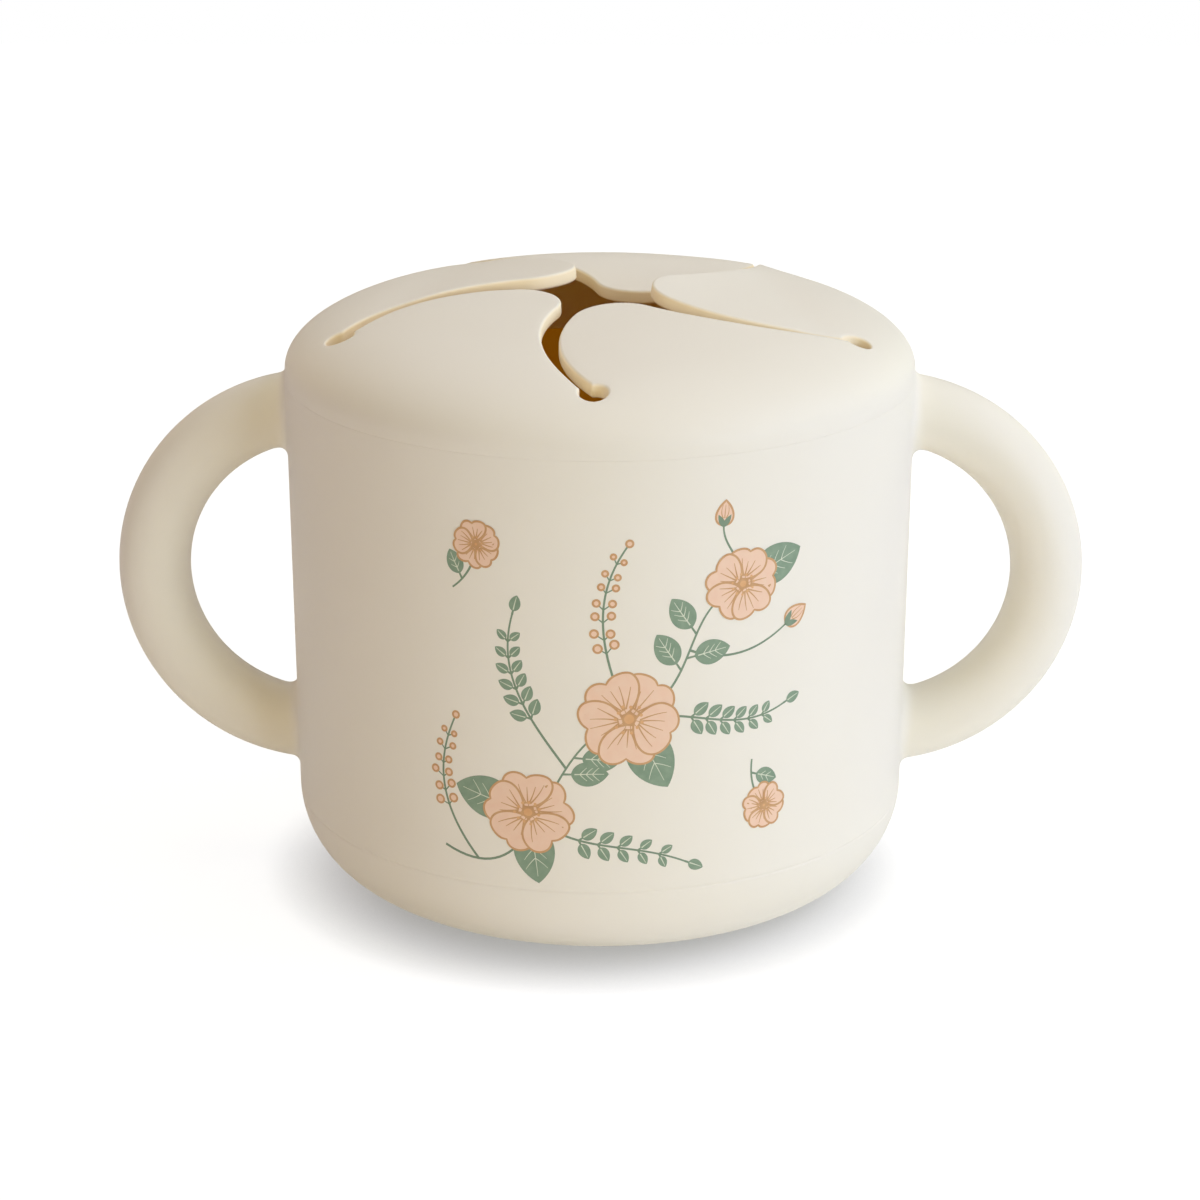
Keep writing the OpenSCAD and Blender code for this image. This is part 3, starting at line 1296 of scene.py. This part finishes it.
@dataclass
class Print:
    """The printed front: a garland of open blossoms, berries and rounded leaves.

    It is drawn flat, across and up the wall in millimetres from the middle of the foot,
    and then laid round the wall as thin layers of ink. The outline of a petal, leaf or
    bud is drawn in shares of its length.
    """

    cup: Cup
    # Ink: how far its film stands off the wall, and each layer off the one below
    film: float = 0.012
    layer: float = 0.004
    # Widths of drawn lines, the pairs at their start and end
    line: float = 0.3
    stem: float = 0.36
    taper: float = 0.7
    stalk_share: float = 0.9
    petal_vein: tuple[float, float] = (0.24, 0.09)
    leaf_rib: tuple[float, float] = (0.17, 0.07)
    leaf_vein: tuple[float, float] = (0.13, 0.06)
    berry_stalk: tuple[float, float] = (0.2, 0.16)
    thread: tuple[float, float] = (0.14, 0.1)
    # Blossoms and stems, and where the random draws start
    petals: int = 5
    petal_layers: int = 3
    petal_wave: float = 0.03
    petal_lobes: int = 3
    threads: int = 11
    twig_steps: int = 40
    seed: int = 11
    mesh_gap: float = 0.9
    shapes: dict[Ink, list[tuple[Points, int]]] = field(default_factory=dict)
    dice: np.random.Generator = field(init=False)

    def __post_init__(self) -> None:
        """Start the random draws that make no two petals or berries alike."""
        self.dice = np.random.default_rng(self.seed)

    def add(self, ink: Ink, outline: Points, layer: int) -> None:
        """Draw a filled shape.

        Args:
            ink: Its colour.
            outline: Its closed outline.
            layer: Its layer of ink, counted from the wall.
        """
        self.shapes.setdefault(ink, []).append((outline, layer))

    def ringed(self, ink: Ink, outline: Points, layer: int) -> None:
        """Draw a filled shape with a drawn outline, in a layer and the one above it."""
        self.add(Ink.OUTLINE, outline, layer)
        self.add(ink, outline + inward(outline) * self.line, layer + 1)

    def petal(self, number: int, turn: float, at: Points, radius: float, flat: Points) -> None:
        """Draw one notched petal with its veins.

        Args:
            number: Its number in the blossom.
            turn: Its direction in degrees.
            at: The blossom's middle.
            radius: Its length.
            flat: Scale across and up, as the blossom is seen.
        """
        half = bezier((0.1, 0), (0.12, 0.3), (0.42, 0.7), (0.8, 0.58))
        half = np.vstack([half, bezier((0.8, 0.58), (1.02, 0.5), (1.1, 0.16), (0.93, 0), steps=12)[1:]])
        outline = mirrored(half)
        rounds = np.linspace(0, 2 * math.pi, len(outline)) * self.petal_lobes
        wave = 1 + self.petal_wave * np.sin(rounds + self.dice.uniform(0, 6))
        outline = outline * wave[:, None] * radius
        above = self.petal_layers * number
        self.ringed(Ink.PETAL, turned(outline, turn) * flat + at, Layer.PETAL + above)
        for i in range(-2, 3):
            tip = self.dice.uniform(0.62, 0.84) - 0.05 * abs(i)
            vein = bezier((0.22, 0.03 * i), (0.44, 0.14 * i), (tip, 0.2 * i), steps=10) * radius
            drawn = ribbon(turned(vein, turn) * flat + at, *self.petal_vein)
            self.add(Ink.OUTLINE, drawn, Layer.FOLD + above)

    def blossom(self, at: tuple[float, float], radius: float, turn: float, squash: float = 1.0) -> None:
        """Draw an open blossom of notched petals round a heart of pollen threads.

        Args:
            at: Its middle.
            radius: Length of a petal.
            turn: Direction of its first petal, in degrees.
            squash: How much lower than wide it looks.
        """
        flat = np.array([1, squash])
        for k in range(self.petals):
            self.petal(k, turn + 360 / self.petals * k, np.array(at), radius, flat)
        for k in range(self.threads):
            reach = self.dice.uniform(0.25, 0.33) * radius
            tip = polar(reach, turn + 360 * k / self.threads)
            thread = ribbon(np.linspace((0, 0), tip, 5) * flat + at, *self.thread)
            self.add(Ink.OUTLINE, thread, Layer.THREAD)
            self.add(Ink.HEART, arc(tip * flat + at, 0.036 * radius, 0, 330, 0.1), Layer.POLLEN)
        heart = arc(np.zeros(2), 0.15 * radius, 0, 350, 0.12) * flat + at
        self.ringed(Ink.HEART, heart, Layer.HEART)

    def leaf(self, base: Points, degrees: float, length: float, veins: int = 3) -> None:
        """Draw a rounded leaf with pale veins.

        Args:
            base: Where its stalk starts.
            degrees: Its direction.
            length: Its length with the stalk.
            veins: Side veins on each side.
        """
        blade = mirrored(bezier((0.18, 0), (0.3, 0.4), (0.78, 0.34), (1, 0))) * length
        stalk = np.linspace((0, 0), (0.25 * length, 0), 4)
        stalk = ribbon(stalk, self.stem * self.stalk_share, self.stem * self.taper)
        rib = ribbon(bezier((0.26, 0), (0.6, 0.01), (0.9, 0), steps=10) * length, *self.leaf_rib)
        self.add(Ink.STEM, turned(stalk, degrees) + base, Layer.STALK)
        self.add(Ink.LEAF, turned(blade, degrees) + base, Layer.LEAF)
        self.add(Ink.VEIN, turned(rib, degrees) + base, Layer.VEIN)
        for k in range(veins):
            start = 0.38 + 0.4 * k / veins
            for side in (-1, 1):
                bend, tip = (start + 0.06, 0.08 * side), (start + 0.15, 0.15 * side)
                drawn = ribbon(bezier((start, 0), bend, tip, steps=6) * length, *self.leaf_vein)
                self.add(Ink.VEIN, turned(drawn, degrees) + base, Layer.VEIN)

    def bud(self, base: Points, degrees: float, length: float) -> None:
        """Draw a closed bud in its cup of two sepals.

        Args:
            base: Where its stalk ends.
            degrees: Its direction.
            length: Its length.
        """
        body = mirrored(bezier((0, 0), (0.02, 0.5), (0.62, 0.5), (1, 0))) * length
        self.ringed(Ink.PETAL, turned(body, degrees) + base, Layer.PETAL)
        for i in (-1, 0, 1):
            fold = bezier((0.3, 0.05 * i), (0.5, 0.2 * i), (0.8, 0.1 * i), steps=8) * length
            drawn = ribbon(fold, *self.leaf_rib)
            self.add(Ink.OUTLINE, turned(drawn, degrees) + base, Layer.FOLD)
        for side in (-1, 1):
            sepal = mirrored(bezier((-0.04, 0), (0.1, 0.16), (0.3, 0.12), (0.5, 0))) * length
            self.add(Ink.STEM, turned(sepal, degrees + 30 * side) + base, Layer.SEPAL)

    def twig(self, *controls: tuple[float, float]) -> Points:
        """Draw a stem that tapers along a curve.

        Args:
            controls: Control points of the curve.

        Returns:
            Points along it, one for each step and one more.
        """
        path = bezier(*controls, steps=self.twig_steps)
        self.add(Ink.STEM, ribbon(path, self.stem, self.stem * self.taper), Layer.STEM)
        return path

    def berry(self, at: Points, radius: float) -> None:
        """Draw a round berry."""
        self.ringed(Ink.PETAL, arc(at, radius, 0, 345, 0.2), Layer.PETAL)

    def sprig(self, *controls: tuple[float, float], pairs: int = 5, berries: bool = True) -> None:
        """Draw a side stem with berries or small leaves on both sides.

        Args:
            controls: Control points of the stem.
            pairs: Pairs along it.
            berries: Whether it carries berries, else leaves.
        """
        path = self.twig(*controls)
        for k in range(pairs):
            here = int(len(path) * (0.35 + 0.6 * k / pairs))
            ahead = heading(path[here], path[min(here + 1, len(path) - 1)])
            size = 1 - 0.35 * k / pairs
            for side in (-1, 1):
                if not berries:
                    self.leaf(path[here], ahead + 48 * side, 3.1 * size, veins=0)
                    continue
                reach = self.dice.uniform(1.2, 1.9) * size
                tip = path[here] + polar(reach, ahead + 50 * side)
                stalk = ribbon(np.linspace(path[here], tip, 5), *self.berry_stalk)
                self.add(Ink.STEM, stalk, Layer.STALK)
                self.berry(tip, 0.72 * size)
        if berries:
            self.berry(path[-1], 0.62)
        else:
            self.leaf(path[-1], heading(path[-2], path[-1]), 2.9, veins=0)

    def lay_out(self) -> None:
        """Draw the whole design: two stems through three blossoms, and two blossoms apart."""
        first, second, third = (-9.5, 24.5), (4.5, 38.5), (20.5, 56.5)
        low = self.twig((-22, 18), (-6, 11), (-9, 35), second)
        high = self.twig(second, (15, 42), (11, 54), third)
        self.sprig(tuple(low[5]), (-23, 24), (-23.5, 30), (-20, 37.5), pairs=6)
        self.sprig(tuple(low[28]), (-9, 38), (-14, 44), (-11.5, 53), pairs=6, berries=False)
        self.sprig(second, (0.5, 48), (-1, 56), (4.5, 63.5), pairs=7)
        self.sprig(first, (-3, 18.5), (4, 21), (12.5, 17), pairs=5, berries=False)
        self.sprig(second, (14, 40), (19, 34.5), (27.5, 38), pairs=6, berries=False)
        self.bud(self.twig(tuple(high[20]), (18, 45.5), (23, 46.5), (27.5, 49.5))[-1], 32, 4.2)
        self.bud(self.twig(third, (20, 61), (17.5, 62), (17.5, 65))[-1], 85, 3.8)
        on_stems = ((low, 30, -1), (low, 27, -1), (high, 15, 1), (high, 24, 1), (high, 18, -1))
        for path, place, side in on_stems:
            ahead = heading(path[place], path[place + 1])
            self.leaf(path[place], ahead + 58 * side, 6.4)
        behind = ((first, -82, 10.6), (first, 165, 11), (second, -62, 11.6), (third, 22, 10))
        for at, degrees, length in behind:
            self.leaf(np.array(at), degrees, length)
        self.blossom(first, 6.1, 20, 0.93)
        self.blossom(second, 6.6, 50)
        self.blossom(third, 5.2, 5, 0.95)
        for at, degrees in (((-16.5, 62.5), 245), ((24.5, 23.5), 110)):
            place = np.array(at)
            bend, foot = place + polar(4, degrees + 20), place + polar(7.5, degrees - 4)
            stalk = self.twig(at, tuple(bend), tuple(foot))
            self.leaf(stalk[30], degrees - 130, 4.4, veins=2)
            self.blossom(at, 3.3, degrees)

    def on_wall(self, flat: Points, layer: int) -> Points:
        """Lay flat points round the wall, in their layer of ink.

        Args:
            flat: Points across and up the wall.
            layer: Their layer of ink.

        Returns:
            The points in space.
        """
        angle = flat[:, 0] / self.cup.radius
        reach = self.cup.wall_radius(flat[:, 1]) + self.film + self.layer * layer
        return np.column_stack([reach * np.sin(angle), -reach * np.cos(angle), flat[:, 1]])

    def build(self) -> list[bpy.types.Object]:
        """Lay the drawing round the wall.

        Returns:
            One object for each ink.
        """
        self.lay_out()
        pieces = []
        for ink, drawn in self.shapes.items():
            points: list[Points] = []
            faces: Faces = []
            for outline, layer in drawn:
                flat, triangles = fill(outline, self.mesh_gap)
                first = sum(len(shape) for shape in points)
                points.append(self.on_wall(flat, layer))
                faces += [tuple(first + v for v in face) for face in triangles]
            name = f"print_{ink.name.lower()}"
            piece = make_piece(name, np.vstack(points), faces, PrintedInk(ink).material())
            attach(piece, "cup")
            pieces.append(piece)
        return pieces


# ---------------------------------------------------------------- the studio


@dataclass(frozen=True)
class Lamp:
    """A soft lamp that looks at the middle of the object; its power is in watts."""

    name: str
    place: tuple[float, float, float]
    power: float
    colour: Colour
    width: float = 700.0
    height: float = 700.0

    def build(self, aim: tuple[float, float, float]) -> bpy.types.Object:
        """Add the lamp to the scene.

        Args:
            aim: The point it looks at, in millimetres.

        Returns:
            The lamp.
        """
        data = bpy.data.lights.new(self.name, "AREA")
        data.shape = "RECTANGLE"
        data.size, data.size_y = self.width * MM, self.height * MM
        data.energy = self.power
        data.color = self.colour
        lamp = bpy.data.objects.new(self.name, data)
        bpy.context.scene.collection.objects.link(lamp)
        lamp.location = Vector(self.place) * MM
        lamp.rotation_euler = (Vector(aim) * MM - lamp.location).to_track_quat("-Z", "Y").to_euler()
        return lamp


@dataclass
class Studio:
    """White floor and backdrop, soft light from the right, and the camera."""

    # Camera
    elevation: float = 19.02
    azimuth: float = 0.67
    distance: float = 549.1
    aim_height: float = 40.2
    focal: float = 112.67
    sensor: float = 36.0
    nearest: float = 10.0
    farthest: float = 20000.0
    # Floor, and its shade close under the object
    floor_size: float = 1300.0
    bounce_colour: Colour = (0.94, 0.935, 0.92)
    floor_seen: float = 0.22
    floor_lift: float = 0.875
    contact_reach: float = 14.0
    contact_side: tuple[float, float, float] = (0.26, 0.38, 0.88)
    contact_open: float = 0.76
    contact_dark: float = 0.32
    lamps: tuple[Lamp, ...] = (
        Lamp("low_right", (850, -850, 205), 7.7, (0.72, 0.84, 1.0), height=410.0),
        Lamp("low_front", (0, -1200, 205), 2.55, (1.0, 0.74, 0.12), height=410.0),
        Lamp("front_left", (-850, -850, 350), 1.8, (1.0, 0.84, 0.96)),
        Lamp("top", (0, 0, 1200), 4.75, (1.0, 0.96, 0.67)),
        Lamp("top_right", (850, 0, 850), 6.1, (0.84, 0.84, 1.0)),
        Lamp("top_left", (-850, 0, 850), 1.4, (0.98, 0.83, 1.0)),
        Lamp("top_back", (0, 850, 850), 2.7, (0.96, 0.95, 1.0)),
        Lamp("back_right", (850, 850, 350), 2.76, (1.0, 0.98, 0.57)),
        Lamp("back_left", (-850, 850, 350), 1.7, (1.0, 0.7, 0.38)),
    )

    def build_camera(self) -> bpy.types.Object:
        """Place the camera at the photograph's angle.

        Returns:
            The camera.
        """
        data = bpy.data.cameras.new("camera")
        data.sensor_width = self.sensor
        data.lens = self.focal
        data.clip_start = self.nearest * MM
        data.clip_end = self.farthest * MM
        camera = bpy.data.objects.new("camera", data)
        bpy.context.scene.collection.objects.link(camera)
        rise, turn = math.radians(self.elevation), math.radians(self.azimuth)
        level = math.cos(rise)
        back = np.array([math.sin(turn) * level, -math.cos(turn) * level, math.sin(rise)])
        camera.location = Vector((np.array([0, 0, self.aim_height]) + self.distance * back) * MM)
        camera.rotation_euler = (math.pi / 2 - rise, 0, turn)
        bpy.context.scene.camera = camera
        return camera

    def build_room(self) -> None:
        """Show the room white to the camera, and leave the light to the lamps."""
        world = bpy.data.worlds.new("room")
        bpy.context.scene.world = world
        graph = Graph(world)
        rays = graph.add("LightPath")
        white = {"Color": (1, 1, 1, 1), "Strength": rays.outputs["Is Camera Ray"]}
        graph.feed(graph.tree.nodes["Background"], white)

    def floor_finish(self) -> bpy.types.Material:
        """Build the floor's white, which the camera sees shaded close under the object's edge.

        Returns:
            The material.
        """
        made = bpy.data.materials.new("floor_white")
        graph = Graph(made)
        nodes = graph.tree.nodes
        nodes.remove(nodes["Principled BSDF"])
        side = graph.add("CombineXYZ", dict(zip("XYZ", self.contact_side)))
        around = {"Distance": self.contact_reach * MM, "Normal": side.outputs[0]}
        open_share = graph.add("AmbientOcclusion", around).outputs["AO"]
        whites = (self.floor_lift * self.contact_dark, self.floor_lift)
        white = graph.ranged(open_share, (0.0, self.contact_open), whites)
        lift = graph.add("Emission", {"Strength": white})
        seen = graph.add("BsdfDiffuse", {"Color": (self.floor_seen,) * 3 + (1,)})
        both = graph.add("AddShader", {0: seen.outputs[0], 1: lift.outputs[0]})
        bounce = graph.add("BsdfDiffuse", {"Color": (*self.bounce_colour, 1)})
        to_camera = graph.add("LightPath").outputs["Is Camera Ray"]
        mix = graph.add("MixShader", {"Fac": to_camera, 1: bounce.outputs[0], 2: both.outputs[0]})
        graph.feed(nodes["Material Output"], {"Surface": mix.outputs[0]})
        return made

    def build_floor(self) -> None:
        """Lay a white floor that keeps the object's shadow."""
        half = self.floor_size / 2 * MM
        corners = [(-half, -half, 0), (half, -half, 0), (half, half, 0), (-half, half, 0)]
        mesh = bpy.data.meshes.new("floor")
        mesh.from_pydata(corners, [], [(0, 1, 2, 3)])
        mesh.materials.append(self.floor_finish())
        floor = bpy.data.objects.new("floor", mesh)
        bpy.context.scene.collection.objects.link(floor)

    def build(self) -> None:
        """Build the whole studio."""
        bpy.context.scene.view_settings.view_transform = "Standard"
        self.build_camera()
        self.build_room()
        self.build_floor()
        for lamp in self.lamps:
            lamp.build((0, 0, self.aim_height))


# ---------------------------------------------------------------- the whole


def report(pieces: Iterable[bpy.types.Object]) -> None:
    """Log the name and number of faces of each new piece."""
    for piece in pieces:
        LOG.info("%s: %d faces", piece.name, len(piece.data.polygons))


def main() -> None:
    """Build the studio and the object, one sub-assembly after another."""
    logging.basicConfig(level=logging.INFO, format="%(message)s")
    Studio().build()
    # Painted light: a glow on the foot for floor bounce, amber shade and glow inside, a warm glow on cut
    # edges
    painted_bounce_foot = Marked(colour=(0.80, 0.765, 0.70), glow=(0.10, 0.10, 0.085), mark="foot")
    painted_amber_inside = Enclosed(colour=(0.74, 0.59, 0.10), glow=(0.053, 0.017, 0.0))
    painted_glow_edge = Marked(colour=(0.86, 0.77, 0.60), glow=(0.15, 0.12, 0.062), mark="edge")
    cup = Cup(Silicone("cup_silicone", (painted_bounce_foot,)), Silicone("cup_inside_painted_glow", (painted_amber_inside,)))
    report([cup.build_body(), *(cup.build_handle(side) for side in Side)])
    lid = Lid(Silicone("lid_silicone", (painted_glow_edge,)), cup)
    report([lid.build_rim(), *(lid.build_flap(flap) for flap in Flap)])
    report(Print(cup).build())


if __name__ == "__main__":
    main()
